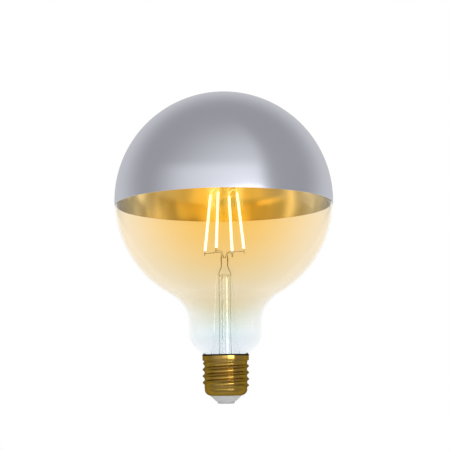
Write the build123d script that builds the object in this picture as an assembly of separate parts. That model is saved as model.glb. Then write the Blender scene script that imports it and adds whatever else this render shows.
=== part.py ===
from build123d import *
from math import asin, atan2, ceil, cos, degrees, pi, radians, sin, sqrt, tan
import os

# A globe filament lamp with a half-mirrored crown on a right-hand 27 mm screw cap.
# Millimetres. The origin is the lowest point of the centre contact, on the lamp's axis, and +Z runs to the crown.

# Globe and neck
globe_radius = 62.5
globe_centre_z = 115.0
glass_wall = 0.8
crown_coat = 0.12
crown_rim_drop = 3.0
lower_arc_offset = 1.5
neck_radius = 20.65
neck_arc_radius = 18.0
shoulder_radius = 10.5
shoulder_turn = 48.0
seal_z = 20.6

# Glass stem
stem_wall = 1.0
stem_rim_height = 0.9
stem_waist_radius = 6.4
stem_waist_z = 44.0
stem_head_radius = 4.95
stem_head_z = 73.5
bore_top_z = 72.4
press_top_radius = 2.7
press_top_z = 82.0
press_thickness = 4.2
press_flat_z = 77.0
press_cut_lift = 1.0
exhaust_radius = 2.2
exhaust_wall = 0.7
exhaust_tip_z = 17.6

# Filaments, four on a ring that narrows upwards
filament_count = 4
filament_radius = 0.85
filament_edge = 0.3
filament_foot_ring = 12.0
filament_head_ring = 8.2
filament_foot_z = 86.6
filament_head_z = 119.3
first_filament_angle = 157.8
tab_length = 2.8
tab_width = 1.1
tab_thickness = 0.4

# Wires
lead_wire_radius = 0.3
support_wire_radius = 0.25
lead_side_offset = 3.2
lead_press_offset = 1.75
lead_upright_z = 34.0
lead_elbow_z = 85.6
lead_pad_bend = 1.2
lead_rise_bend = 4.0
lead_press_bend = 6.0
lead_elbow_bend = 1.5
anchor_arch_z = 85.9
anchor_arch_ring = 4.2
anchor_arch_bend = 3.0
anchor_seat_half = 1.2
anchor_seat_bend = 0.8
link_rise = 1.2
link_bend = 4.0

# Screw cap
thread_pitch = 3.629
thread_diameter = 26.2
thread_depth = 1.1
thread_start_z = 2.73
crest_sharpness = 1.6
cap_sheet = 0.3
cap_top_z = 27.4
collar_bottom_z = 24.3
lip_flare = 0.25
lip_height = 0.5
thread_bottom_z = 8.2
thread_foot_inset = 0.1
thread_head_outset = 0.3
thread_run_out = 2.2
bowl_radius = 3.75
bowl_turn = 81.0
flange_inset = 0.55
seat_margin = 0.15
section_steps = 56
section_count = 12

# Insulator and contact
insulator_foot_z = 1.3
insulator_foot_radius = 5.5
insulator_top_z = 6.4
insulator_hole_radius = 1.4
contact_radius = 4.9
contact_edge = 1.0
shank_radius = 1.2
shank_bore_radius = 0.7
shank_top_z = 7.4

# Driver inside the cap
board_width = 14.0
board_height = 12.4
board_thickness = 1.0
board_foot_z = 8.4
board_front_y = 2.9
board_edge = 1.0
lead_pad_x = 3.7
lead_pad_drop = 2.0
capacitor_radius = 3.15
capacitor_length = 7.6
capacitor_edge = 0.4
capacitor_groove = 0.25
capacitor_groove_at = 1.4
capacitor_x = -2.65
capacitor_rise = 4.8
rectifier_size = (4.7, 1.6, 3.9)
rectifier_x = -3.5
chip_size = (4.9, 1.5, 3.9)
chip_x = 3.2
chip_rise = 5.6
chip_resistor_size = (3.2, 0.6, 1.6)
chip_resistor_count = 3
chip_resistor_space = 0.4
fuse_radius = 1.2
fuse_length = 5.6
fuse_edge = 0.35
fuse_x = 5.2
fuse_y = -1.4
fuse_rise = 3.2
fuse_lead_rise = 1.6
fuse_lead_bend = 0.8
contact_wire_rise = 1.4
hookup_radius = 0.3
shell_pad_x = -5.4
shell_pad_rise = 0.8
shell_wire_stand = 1.6
shell_wire_bend = 0.6
solder_radius = 0.75
solder_collar = 0.1
solder_height = 0.5

# Clearances
glass_to_cap = 0.2
mouth_gap = 0.17
cement_wall = 0.75
cement_gap = 0.1
part_gap = 0.05
wire_gap = 0.01

# Derived places
glass_radius = globe_radius - crown_coat
lower_radius = glass_radius - lower_arc_offset
board_back_y = board_front_y + board_thickness
board_top_z = board_foot_z + board_height
thread_crest = thread_diameter / 2
thread_root = thread_crest - thread_depth
thread_foot_radius = thread_root - thread_foot_inset
thread_head_radius = thread_root + thread_head_outset
collar_radius = thread_crest
collar_bore = collar_radius - cap_sheet
flange_bore = thread_head_radius - flange_inset
flange_bottom_z = collar_bottom_z - cap_sheet
seal_radius = flange_bore - cement_wall

# The glass cone enters the cap's mouth just clear of the collar, so the shoulder's height follows from both
shoulder_angle = radians(shoulder_turn)
mouth_radius = collar_bore - mouth_gap
shoulder_end_radius = neck_radius - shoulder_radius * (1 - cos(shoulder_angle))
shoulder_end_z = cap_top_z + (shoulder_end_radius - mouth_radius) / tan(shoulder_angle)
shoulder_top_z = shoulder_end_z + shoulder_radius * sin(shoulder_angle)


def arc(centre, radius, start, end):
    """A circular edge about a centre between two angles in radians."""
    cx, cy = centre
    points = [(cx + radius * cos(a), cy + radius * sin(a)) for a in (start, (start + end) / 2, end)]
    return ThreePointArc(*points)


def polar(centre, radius, angle):
    return (centre[0] + radius * cos(angle), centre[1] + radius * sin(angle))


def turned(*edges):
    """A solid of revolution from a closed outline of (radius, height) edges."""
    return revolve(Plane.XZ * make_face(list(edges)), Axis.Z)


def chain(*points):
    """Straight edges through a list of points."""
    return [Line(a, b) for a, b in zip(points, points[1:])]


def around(radius, angle, z):
    """A point at a radius and an angle in degrees about the axis."""
    return Vector(radius * cos(radians(angle)), radius * sin(radians(angle)), z)


def wire_along(points, radius, bends):
    """Round wire that follows straight runs joined by tangent bends."""
    path = FilletPolyline(*points, radius=bends) if len(points) > 2 else Line(*points)
    start = Plane(origin=path @ 0, z_dir=path % 0)
    return sweep(start * Circle(radius), path=path)


# Envelope outline, from the pole down to the seal, set in from the outer face by a wall
def envelope_outline(inset):
    globe = (0, globe_centre_z)
    lower = (lower_arc_offset, globe_centre_z)
    neck_centre_x = neck_radius + neck_arc_radius
    reach = lower_radius + neck_arc_radius
    neck_z = globe_centre_z - sqrt(reach**2 - (neck_centre_x - lower_arc_offset) ** 2)
    neck = (neck_centre_x, neck_z)
    leave = atan2(neck_z - globe_centre_z, neck_centre_x - lower_arc_offset)
    shoulder = (neck_radius - shoulder_radius, shoulder_top_z)
    shoulder_end = polar(shoulder, shoulder_radius - inset, -shoulder_angle)
    run = (shoulder_end[0] - seal_radius + inset) / sin(shoulder_angle)
    seal_top = (seal_radius - inset, shoulder_end[1] - run * cos(shoulder_angle))
    seal_foot = (seal_radius - inset, seal_z)
    return [
        arc(globe, glass_radius - inset, pi / 2, 0),
        arc(lower, lower_radius - inset, 0, leave),
        arc(neck, neck_arc_radius + inset, leave + pi, pi),
        Line((neck_radius - inset, neck_z), (neck_radius - inset, shoulder_top_z)),
        arc(shoulder, shoulder_radius - inset, 0, -shoulder_angle),
        Line(shoulder_end, seal_top),
        Line(seal_top, seal_foot),
    ]


def cone_radius(z):
    """Outer radius of the glass cone that enters the cap."""
    return mouth_radius - (cap_top_z - z) * tan(shoulder_angle)


def cone_height(radius):
    """Height at which the glass cone has a given outer radius."""
    return cap_top_z - (mouth_radius - radius) / tan(shoulder_angle)


def make_glass_envelope():
    outer = envelope_outline(0)
    inner = envelope_outline(glass_wall)
    pole = Line((0, globe_centre_z + glass_radius), (0, globe_centre_z + glass_radius - glass_wall))
    foot = Line((seal_radius, seal_z), (seal_radius - glass_wall, seal_z))
    return turned(*outer, foot, *inner, pole)


def crown_outline(lift):
    """The crown's arcs at a lift off the glass: the globe's arc, then the start of the lower arc."""
    end = -asin(crown_rim_drop / lower_radius)
    lower = (lower_arc_offset, globe_centre_z)
    upper_arc = arc((0, globe_centre_z), glass_radius + lift, pi / 2, 0)
    lower_arc = arc(lower, lower_radius + lift, 0, end)
    return [upper_arc, lower_arc], polar(lower, lower_radius + lift, end)


def make_crown_mirror():
    inner, inner_end = crown_outline(0)
    outer, outer_end = crown_outline(crown_coat)
    pole = Line((0, globe_centre_z + glass_radius), (0, globe_centre_z + globe_radius))
    return turned(*inner, *outer, pole, Line(inner_end, outer_end))


# Stem: a flared tube, sealed to the neck at its rim and pinched to a press at its head
def trumpet(inset):
    """The flare between the rim and the waist, tangent to the axis direction at the waist."""
    rim = seal_radius - glass_wall - part_gap - inset
    waist = stem_waist_radius - inset
    out, rise = rim - waist, stem_waist_z - seal_z
    radius = (out**2 + rise**2) / (2 * out)
    turn = asin(rise / radius)
    return arc((waist + radius, stem_waist_z), radius, pi + turn, pi)


def make_stem_blank():
    rim_foot = seal_z - stem_rim_height
    rim_outer = seal_radius - glass_wall - part_gap
    outer = chain(
        (rim_outer - stem_wall, rim_foot),
        (seal_radius, rim_foot),
        (seal_radius, seal_z),
        (rim_outer, seal_z),
    )
    head = chain(
        (stem_waist_radius, stem_waist_z),
        (stem_head_radius, stem_head_z),
        (press_top_radius, press_top_z),
        (0, press_top_z),
        (0, bore_top_z),
        (stem_head_radius - stem_wall, bore_top_z),
        (stem_waist_radius - stem_wall, stem_waist_z),
    )
    drop = Line((rim_outer - stem_wall, seal_z), (rim_outer - stem_wall, rim_foot))
    return turned(*outer, trumpet(0), *head, trumpet(stem_wall), drop)


def pinched(stem):
    """The stem with its head pressed to two flats, each with a sloped run-out."""
    reach = 2 * stem_head_radius
    over = press_top_z + press_cut_lift
    for side in (1, -1):
        flat = Polyline(
            (side * press_thickness / 2, press_flat_z),
            (side * press_thickness / 2, over),
            (side * reach, over),
            (side * reach, press_flat_z - stem_head_radius),
            (side * (press_thickness / 2 + stem_head_radius), press_flat_z - stem_head_radius),
            close=True,
        )
        stem -= extrude(Plane.YZ * make_face(flat), reach, both=True)
    return stem


def make_exhaust_tube():
    inner = exhaust_radius - exhaust_wall
    dome = arc((0, exhaust_tip_z + exhaust_radius), exhaust_radius, -pi / 2, 0)
    hollow = arc((0, exhaust_tip_z + exhaust_radius), inner, 0, -pi / 2)
    top = bore_top_z
    return turned(
        dome,
        Line((exhaust_radius, exhaust_tip_z + exhaust_radius), (exhaust_radius, top)),
        Line((exhaust_radius, top), (inner, top)),
        Line((inner, top), (inner, exhaust_tip_z + exhaust_radius)),
        hollow,
        Line((0, exhaust_tip_z + exhaust_wall), (0, exhaust_tip_z)),
    )


# Filaments
def filament_angle(index):
    return first_filament_angle + 360 / filament_count * index


def filament_frame(index):
    """A plane at the filament's foot whose z runs along it and whose x points away from the axis."""
    angle = filament_angle(index)
    foot = around(filament_foot_ring, angle, filament_foot_z)
    head = around(filament_head_ring, angle, filament_head_z)
    return Plane(origin=foot, z_dir=head - foot, x_dir=around(1, angle, 0)), (head - foot).length


def make_filament(index):
    frame, length = filament_frame(index)
    rod = frame * Cylinder(filament_radius, length, align=(Align.CENTER, Align.CENTER, Align.MIN))
    return fillet(rod.edges().filter_by(GeomType.CIRCLE), filament_edge)


def tab_centre(index, at_head):
    """The middle of a filament's end tab."""
    frame, length = filament_frame(index)
    along = length + tab_length / 2 if at_head else -tab_length / 2
    return frame.origin + frame.z_dir * along


def make_tabs(wires):
    """Two flat tabs on each filament, notched where a wire is welded on."""
    tabs = []
    for index in range(filament_count):
        frame, _ = filament_frame(index)
        for at_head in (False, True):
            place = Plane(origin=tab_centre(index, at_head), z_dir=frame.z_dir, x_dir=frame.x_dir)
            tab = place * Box(tab_thickness, tab_width, tab_length)
            for wire in wires:
                tab -= wire
            tabs.append(tab)
    return Compound(children=[solid for tab in tabs for solid in tab.solids()])


# Wires
def make_lead_wire(index, side):
    """From the board up the stem, through the press and out to a filament's foot tab."""
    pad = lead_pad(side)
    points = [
        pad,
        Vector(pad.X, 0, pad.Z),
        Vector(side * lead_side_offset, 0, lead_upright_z),
        Vector(side * lead_side_offset, 0, bore_top_z + lead_wire_radius),
        Vector(side * lead_press_offset, 0, press_flat_z),
        Vector(side * lead_press_offset, 0, lead_elbow_z),
        tab_centre(index, False),
    ]
    bends = [lead_pad_bend, lead_rise_bend, lead_press_bend, lead_press_bend, lead_elbow_bend]
    return wire_along(points, lead_wire_radius, bends)


def lead_pad(side):
    """Where a lead-in wire meets the board."""
    return Vector(side * lead_pad_x, board_front_y, board_top_z - lead_pad_drop)


def make_anchor_wire(index):
    """One wire, half sunk in the press head, that holds the feet of two opposite filaments."""
    halves = []
    for i in (index, index + filament_count // 2):
        angle = filament_angle(i)
        seat = around(anchor_seat_half, angle, press_top_z + support_wire_radius / 2)
        halves.append([tab_centre(i, False), around(anchor_arch_ring, angle, anchor_arch_z), seat])
    points = halves[0] + halves[1][::-1]
    bends = [anchor_arch_bend, anchor_seat_bend, anchor_seat_bend, anchor_arch_bend]
    return wire_along(points, support_wire_radius, bends)


def make_top_link(index):
    """A short bowed wire between the heads of two neighbouring filaments."""
    first, second = tab_centre(index, True), tab_centre(index + 1, True)
    middle = (first + second) * 0.5 + Vector(0, 0, link_rise)
    return wire_along([first, middle, second], support_wire_radius, [link_bend])


# Screw cap
def run_out(z, bottom, top):
    """How much of the thread's wave a height has: none at the two ends of the threaded length."""
    low = min(max((z - bottom) / thread_run_out, 0), 1)
    high = min(max((top - z) / thread_run_out, 0), 1)
    return low**2 * (3 - 2 * low) * high**2 * (3 - 2 * high)


def thread_wave(z, turn):
    """Outer radius of the rolled sheet at a height and an angle, for a right-hand thread.
    A crest passes angle 0 at thread_start_z, and above a sharpness of 1 it is narrower than the root."""
    bottom, top = thread_bottom_z, flange_bottom_z
    rise = (1 + cos(2 * pi * (z - thread_start_z) / thread_pitch - turn)) / 2
    wave = thread_root + thread_depth * rise**crest_sharpness
    plain = thread_foot_radius + (thread_head_radius - thread_foot_radius) * (z - bottom) / (top - bottom)
    share = run_out(z, bottom, top)
    return plain * (1 - share) + wave * share


def thread_section(turn):
    """The sheet's outline in one plane through the axis."""
    bottom, top = thread_bottom_z - seat_margin, flange_bottom_z + seat_margin
    steps = [i / section_steps for i in range(section_steps + 1)]
    heights = [bottom + (top - bottom) * s for s in steps]
    outer = [around(thread_wave(z, turn), degrees(turn), z) for z in heights]
    inner = [around(thread_wave(z, turn) - cap_sheet, degrees(turn), z) for z in heights]
    outer_edge = Edge.make_spline(outer, parameters=steps)
    inner_edge = Edge.make_spline(inner, parameters=steps)
    foot, head = Edge.make_line(inner[0], outer[0]), Edge.make_line(outer[-1], inner[-1])
    return Wire([outer_edge, head, inner_edge, foot])


def make_thread():
    """Two half-turn lofts through the sheet's outline, joined at their flat ends."""
    halves = []
    for half in (0, 1):
        turns = [pi * (half + step / section_count) for step in range(section_count + 1)]
        halves.append(Solid.make_loft([thread_section(turn) for turn in turns]))
    return halves[0] + halves[1]


def make_cap_bowl():
    """The rounded foot of the cap, curled in under the insulator's shoulder."""
    outer_r = thread_foot_radius + seat_margin
    centre = (outer_r - bowl_radius, thread_bottom_z)
    wall = cap_sheet + 2 * seat_margin
    end = -radians(bowl_turn)
    return turned(
        arc(centre, bowl_radius, 0, end),
        Line(polar(centre, bowl_radius, end), polar(centre, bowl_radius - wall, end)),
        arc(centre, bowl_radius - wall, end, 0),
        Line((outer_r - wall, thread_bottom_z), (outer_r, thread_bottom_z)),
    )


def make_collar():
    """The plain collar above the thread: a flat flange, an upright wall and a flared lip."""
    return turned(
        *chain(
            (flange_bore, flange_bottom_z),
            (collar_radius, flange_bottom_z),
            (collar_radius, cap_top_z - lip_height),
            (collar_radius + lip_flare, cap_top_z - lip_height / 2),
            (collar_radius + lip_flare, cap_top_z),
            (collar_bore, cap_top_z),
            (collar_bore, collar_bottom_z),
            (flange_bore, collar_bottom_z),
            (flange_bore, flange_bottom_z),
        )
    )


def make_screw_shell():
    return make_thread() + make_cap_bowl() + make_collar()


def bowl_inner_radius(z):
    """Inner radius of the cap's rounded foot at a height."""
    centre_r = thread_foot_radius + seat_margin - bowl_radius
    inner = bowl_radius - cap_sheet - 2 * seat_margin
    return centre_r + sqrt(inner**2 - (thread_bottom_z - z) ** 2)


def bowl_mouth():
    """The inner corner of the cap's lower edge."""
    centre = (thread_foot_radius + seat_margin - bowl_radius, thread_bottom_z)
    wall = cap_sheet + 2 * seat_margin
    end = -radians(bowl_turn)
    return polar(centre, bowl_radius, end), polar(centre, bowl_radius - wall, end)


def make_insulator():
    """A turned button: its cone shows below the cap, its shoulder rests on the cap's curled foot."""
    outer, inner = bowl_mouth()
    centre = (thread_foot_radius + seat_margin - bowl_radius, thread_bottom_z)
    inner_radius = bowl_radius - cap_sheet - 2 * seat_margin
    rest = -asin((thread_bottom_z - insulator_top_z) / inner_radius)
    return turned(
        *chain(
            (insulator_hole_radius, insulator_foot_z),
            (insulator_foot_radius, insulator_foot_z),
            outer,
            inner,
        ),
        arc(centre, inner_radius, -radians(bowl_turn), rest),
        *chain(
            (bowl_inner_radius(insulator_top_z), insulator_top_z),
            (insulator_hole_radius, insulator_top_z),
            (insulator_hole_radius, insulator_foot_z),
        ),
    )


def make_contact():
    """The centre contact: a rounded button with a hollow shank that is riveted through the insulator."""
    button = turned(
        Line((0, 0), (contact_radius - contact_edge, 0)),
        arc((contact_radius - contact_edge, contact_edge), contact_edge, -pi / 2, 0),
        *chain(
            (contact_radius, contact_edge),
            (contact_radius, insulator_foot_z),
            (shank_radius, insulator_foot_z),
            (shank_radius, shank_top_z),
            (shank_bore_radius, shank_top_z),
            (shank_bore_radius, contact_edge),
            (0, contact_edge),
            (0, 0),
        ),
    )
    return button


def make_cement():
    """The ring of cement between the glass and the cap."""
    inside = seal_radius
    cone_z = cone_height(seal_radius)
    top = cap_top_z - glass_to_cap
    return turned(
        *chain(
            (inside, seal_z),
            (flange_bore - cement_gap, seal_z),
            (flange_bore - cement_gap, collar_bottom_z),
            (collar_bore, collar_bottom_z),
            (collar_bore, top),
            (cone_radius(top), top),
            (inside, cone_z),
            (inside, seal_z),
        )
    )


# Driver
def board_block(size, x, z, behind):
    """A flat-backed part on the front or the back face of the board."""
    width, depth, height = size
    y = board_back_y + depth / 2 if behind else board_front_y - depth / 2
    return Pos(x, y, z) * Box(width, depth, height)


def make_board():
    middle = (board_front_y + board_back_y) / 2
    blank = Pos(0, middle, board_foot_z + board_height / 2) * Box(board_width, board_thickness, board_height)
    corners = blank.edges().filter_by(Axis.Y)
    return fillet(corners, board_edge)


def make_capacitor():
    """A can that stands on the board, with a rolled groove near its foot."""
    outline = chain(
        (0, 0),
        (capacitor_radius - capacitor_edge, 0),
        (capacitor_radius, capacitor_edge),
        (capacitor_radius, capacitor_groove_at - capacitor_groove),
        (capacitor_radius - capacitor_groove, capacitor_groove_at),
        (capacitor_radius, capacitor_groove_at + capacitor_groove),
        (capacitor_radius, capacitor_length - capacitor_edge),
        (capacitor_radius - capacitor_edge, capacitor_length),
        (0, capacitor_length),
        (0, 0),
    )
    foot = (capacitor_x, board_front_y, board_foot_z + capacitor_rise)
    return Plane(origin=foot, z_dir=(0, -1, 0)) * turned(*outline)


def make_rectifier():
    z = board_top_z - board_edge - rectifier_size[2] / 2
    return board_block(rectifier_size, rectifier_x, z, True)


def make_driver_chip():
    return board_block(chip_size, chip_x, board_foot_z + chip_rise, True)


def make_chip_resistors():
    height = chip_resistor_size[2]
    foot_z = board_foot_z + board_edge + height / 2
    heights = [foot_z + i * (height + chip_resistor_space) for i in range(chip_resistor_count)]
    blocks = [board_block(chip_resistor_size, rectifier_x, z, True) for z in heights]
    return Compound(children=[block.solids()[0] for block in blocks])


def fuse_end(top):
    """The middle of the fusible resistor's foot or head."""
    z = board_foot_z + fuse_rise + (fuse_length if top else 0)
    return Vector(fuse_x, fuse_y, z)


def make_fuse():
    """A small wire-ended fusible resistor, upright beside the can."""
    body = Cylinder(fuse_radius, fuse_length, align=(Align.CENTER, Align.CENTER, Align.MIN))
    body = fillet(body.edges().filter_by(GeomType.CIRCLE), fuse_edge)
    return Pos(*fuse_end(False)) * body


def fuse_pad():
    """Where the fusible resistor's upper lead meets the board."""
    return Vector(fuse_x, board_front_y, fuse_end(True).Z + fuse_lead_rise)


def make_fuse_leads():
    """The resistor's two leads: up to the board, and down into the contact's shank."""
    pad = fuse_pad()
    elbow_z = shank_top_z + contact_wire_rise
    head = [fuse_end(True), Vector(fuse_x, fuse_y, pad.Z), pad]
    foot = [fuse_end(False), Vector(fuse_x, fuse_y, elbow_z), Vector(0, 0, elbow_z), Vector(0, 0, contact_edge)]
    upper = wire_along(head, hookup_radius, [fuse_lead_bend])
    lower = wire_along(foot, hookup_radius, [fuse_lead_bend, fuse_lead_bend])
    return Compound(children=[upper.solids()[0], lower.solids()[0]])


def thread_root_z(turn, above):
    """The first height over a level where the thread's root passes an angle."""
    root = thread_start_z + thread_pitch * (turn / (2 * pi) + 0.5)
    return root + thread_pitch * ceil((above - root) / thread_pitch)


def shell_wire_points():
    """From the board, out to the root of the thread inside the screw shell."""
    out_y = board_front_y - shell_wire_stand
    turn = atan2(out_y, shell_pad_x)
    z = thread_root_z(turn, board_foot_z + shell_pad_rise)
    reach = thread_wave(z, turn) - cap_sheet - part_gap
    pad = Vector(shell_pad_x, board_front_y, z)
    return [pad, Vector(shell_pad_x, out_y, z), Vector(reach * cos(turn), reach * sin(turn), z)]


def make_shell_wire():
    return wire_along(shell_wire_points(), hookup_radius, [shell_wire_bend])


def make_solder():
    """A flat cone of solder round each wire that meets the board."""
    joints = []
    wires = [(lead_pad(-1), lead_wire_radius), (lead_pad(1), lead_wire_radius)]
    wires += [(fuse_pad(), hookup_radius), (shell_wire_points()[0], hookup_radius)]
    for pad, wire in wires:
        hole = wire + wire_gap
        cone = turned(
            *chain(
                (hole, 0),
                (solder_radius, 0),
                (hole + solder_collar, solder_height),
                (hole, solder_height),
                (hole, 0),
            )
        )
        joints.append(Plane(origin=pad, z_dir=(0, -1, 0)) * cone)
    return Compound(children=[joint.solids()[0] for joint in joints])


def build_parts():
    lead_in = make_lead_wire(0, -1)
    lead_out = make_lead_wire(filament_count // 2, 1)
    anchor = make_anchor_wire(1)
    links = [make_top_link(0), make_top_link(filament_count // 2)]
    stem = pinched(make_stem_blank()) - lead_in - lead_out - anchor
    parts = {
        "glass_envelope": make_glass_envelope(),
        "crown_mirror": make_crown_mirror(),
        "glass_stem": stem,
        "exhaust_tube": make_exhaust_tube(),
        "filament_tabs": make_tabs([lead_in, lead_out, anchor, *links]),
        "lead_wire_line": lead_in,
        "lead_wire_return": lead_out,
        "anchor_wire": anchor,
        "top_link_left": links[0],
        "top_link_right": links[1],
        "screw_shell": make_screw_shell(),
        "cap_insulator": make_insulator(),
        "centre_contact": make_contact(),
        "basing_cement": make_cement(),
        "driver_board": make_board(),
        "smoothing_capacitor": make_capacitor(),
        "bridge_rectifier": make_rectifier(),
        "driver_chip": make_driver_chip(),
        "chip_resistors": make_chip_resistors(),
        "fusible_resistor": make_fuse(),
        "resistor_leads": make_fuse_leads(),
        "shell_wire": make_shell_wire(),
        "solder_joints": make_solder(),
    }
    for index in range(filament_count):
        parts[f"filament_{index + 1}"] = make_filament(index)
    return parts


def main():
    os.makedirs("parts", exist_ok=True)
    for name, shape in build_parts().items():
        export_step(shape, f"parts/{name}.step")


main()
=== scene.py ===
from math import asin, atan2, cos, pi, radians, sin, sqrt, tan

import bpy
from mathutils import Matrix, Vector


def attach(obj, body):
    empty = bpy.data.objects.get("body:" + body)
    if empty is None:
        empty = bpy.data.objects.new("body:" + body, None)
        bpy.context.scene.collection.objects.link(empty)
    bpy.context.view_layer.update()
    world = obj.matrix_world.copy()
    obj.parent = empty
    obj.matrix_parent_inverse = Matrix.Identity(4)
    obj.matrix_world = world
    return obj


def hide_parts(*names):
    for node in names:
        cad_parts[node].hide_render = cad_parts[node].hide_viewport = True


# A globe filament lamp with a half-mirrored crown on a right-hand screw cap.
# Sizes below are millimetres. The meshes are made in metres, in the frame of the solids.

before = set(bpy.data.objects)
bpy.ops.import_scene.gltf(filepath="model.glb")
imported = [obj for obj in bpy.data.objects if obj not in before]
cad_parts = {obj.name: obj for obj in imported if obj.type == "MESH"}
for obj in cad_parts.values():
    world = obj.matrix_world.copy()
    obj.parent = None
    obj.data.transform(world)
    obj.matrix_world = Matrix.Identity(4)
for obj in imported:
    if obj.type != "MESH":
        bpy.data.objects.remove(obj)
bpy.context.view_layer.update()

MM = 0.001

# Globe
GLOBE_CENTRE_Z = 115.0
GLASS_RADIUS = 62.38
GLASS_WALL = 0.8
LOWER_ARC_OFFSET = 1.5
NECK_RADIUS = 20.65
NECK_ARC_RADIUS = 18.0
SHOULDER_TOP_Z = 39.296
SHOULDER_RADIUS = 10.5
SHOULDER_TURN = radians(48)
SEAL_RADIUS = 11.0
SEAL_Z = 20.6

# Crown: the coat stands off the glass and bites a little into it
CROWN_COAT = 0.12
CROWN_BITE = 0.1
CROWN_RIM_Z = 112.0

# Stem
STEM_WALL = 1.0
STEM_RIM_Z = 19.7
STEM_RIM_RADIUS = 10.15
WAIST_RADIUS = 6.4
WAIST_Z = 44.0
HEAD_RADIUS = 4.95
HEAD_Z = 73.5
HEAD_CORNER = 3.0
BORE_TOP_Z = 72.4
BORE_CORNER = 1.5
PRESS_TOP_RADIUS = 2.7
PRESS_TOP_Z = 82.0
PRESS_CORNER = 1.1
PRESS_LEAN = 0.25
PRESS_HALF = 2.1
PRESS_FLAT_Z = 77.0
PRESS_SHARPNESS = 5

# Exhaust tube, its top end sunk a little into the stem's head
EXHAUST_RADIUS = 2.2
EXHAUST_WALL = 0.7
EXHAUST_TIP_Z = 17.6
EXHAUST_SUNK = 0.05

# Filaments
FILAMENT_COUNT = 4
FILAMENT_RADIUS = 0.7
FILAMENT_DOME = 0.6
FOOT_RING = 12.0
HEAD_RING = 8.2
FOOT_Z = 86.6
HEAD_TOP_Z = 119.3
FIRST_ANGLE = 157.8
CHIP_PITCH = 1.1

# Heat tint of the wires, from the stem's press to just below the filaments' feet
WIRE_BRIGHT_Z = 72.0
WIRE_HEATED_Z = 80.0
WIRE_TINT_END_Z = FOOT_Z - 3.6
WIRE_CLEAN_Z = FOOT_Z - 2.6
# Where the wires' painted glow, which stands in for the lit rods' light on them, begins and is full
ROD_LIGHT_LOW_Z = HEAD_TOP_Z - 5
ROD_LIGHT_FULL_Z = HEAD_TOP_Z - 3

# Thread
PITCH = 3.629
CREST_RADIUS = 13.1
THREAD_DEPTH = 1.1
THREAD_START_Z = 2.73
CREST_SHARPNESS = 1.6
THREAD_FOOT_Z = 8.2
THREAD_HEAD_Z = 24.0
THREAD_FOOT_RADIUS = 11.9
THREAD_HEAD_RADIUS = 12.3
RUN_OUT = 2.2

# Shell: sheet brass with a rounded foot, a collar and a flared lip
SHEET = 0.3
BOWL_RADIUS = 3.75
BOWL_TURN = radians(81)
BOWL_END_TURN = 0.12
BOWL_CENTRE = (8.3, THREAD_FOOT_Z)
COLLAR_RADIUS = 13.1
COLLAR_BEND = 0.35
FLANGE_EASE_OUT = 0.05
FLANGE_EASE_DOWN = 0.02
CAP_TOP_Z = 27.4
LIP_FOOT_Z = 26.9
LIP_FLARE = 0.25
LIP_FLARE_RISE = 0.25
LIP_SWELL_SHARE = 0.7
LIP_SWELL_RISE = 0.12
LIP_EDGE = 0.06

# Where the thread's crest darkening begins to fade below the collar, and where the painted shadow along the
# lip begins and is full
CREST_DARK_FADE_Z = 23.4
LIP_SHADE_LOW_Z = 26.45
LIP_SHADE_FULL_Z = 26.55

# Insulator
INSULATOR_FOOT_Z = 1.3
INSULATOR_FOOT_RADIUS = 5.5
INSULATOR_TOP_Z = 6.4
INSULATOR_BORE = 1.4
INSULATOR_EDGE = 0.35
INSULATOR_BED = 0.6

# Contact: a pressed button with a shallow ring, on a hollow shank
CONTACT_RADIUS = 4.9
CONTACT_EDGE = 1.0
CONTACT_FLOOR_Z = 1.0
PRESSED_RING_RADIUS = 2.75
PRESSED_RING_HALF = 0.15
PRESSED_RING_DEPTH = 0.06
SHANK_RADIUS = 1.2
SHANK_BORE = 0.7
SHANK_TOP_Z = 7.4

# How finely round pieces are turned, and the thread's steps up the shell
GLOBE_TURNS = 256
CAP_TURNS = 160
STEM_TURNS = 128
CONTACT_TURNS = 96
EXHAUST_TURNS = 48
FILAMENT_TURNS = 32
THREAD_STEPS = 128

# Edges stay crisp where they turn by more degrees than this
CRISP_EDGE = 35
STEM_CRISP_EDGE = 50


# Outlines
def polar(centre, radius, angle):
    return (centre[0] + radius * cos(angle), centre[1] + radius * sin(angle))


def arc(centre, radius, start, end, steps):
    """Points on an arc between two angles in radians, both ends included."""
    return [polar(centre, radius, start + (end - start) * i / steps) for i in range(steps + 1)]


def straight(start, end, steps):
    """Points on the line between two others, which are left out."""
    out, up = end[0] - start[0], end[1] - start[1]
    return [(start[0] + out * i / steps, start[1] + up * i / steps) for i in range(1, steps)]


def rounded(before, corner, after, radius, steps=4):
    """Points that round one corner of an outline, given its neighbours on both sides."""
    here = Vector(corner)
    start = here + (Vector(before) - here).normalized() * radius
    end = here + (Vector(after) - here).normalized() * radius
    points = []
    for k in range(steps + 1):
        t = k / steps
        points.append(tuple(start * (1 - t) ** 2 + here * 2 * t * (1 - t) + end * t ** 2))
    return points


def around(radius, angle, z):
    """A point in metres about the lamp's axis, from millimetres and degrees."""
    return Vector((radius * cos(radians(angle)) * MM, radius * sin(radians(angle)) * MM, z * MM))


# Meshes
def finish_mesh(name, mesh, material, crisp=CRISP_EDGE):
    """Smooth faces with crisp corners, one material, and the object in the scene."""
    mesh.validate()
    mesh.materials.clear()
    mesh.materials.append(material)
    mesh.shade_smooth()
    mesh.set_sharp_from_angle(angle=radians(crisp))
    piece = bpy.data.objects.new(name, mesh)
    bpy.context.scene.collection.objects.link(piece)
    return piece


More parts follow.
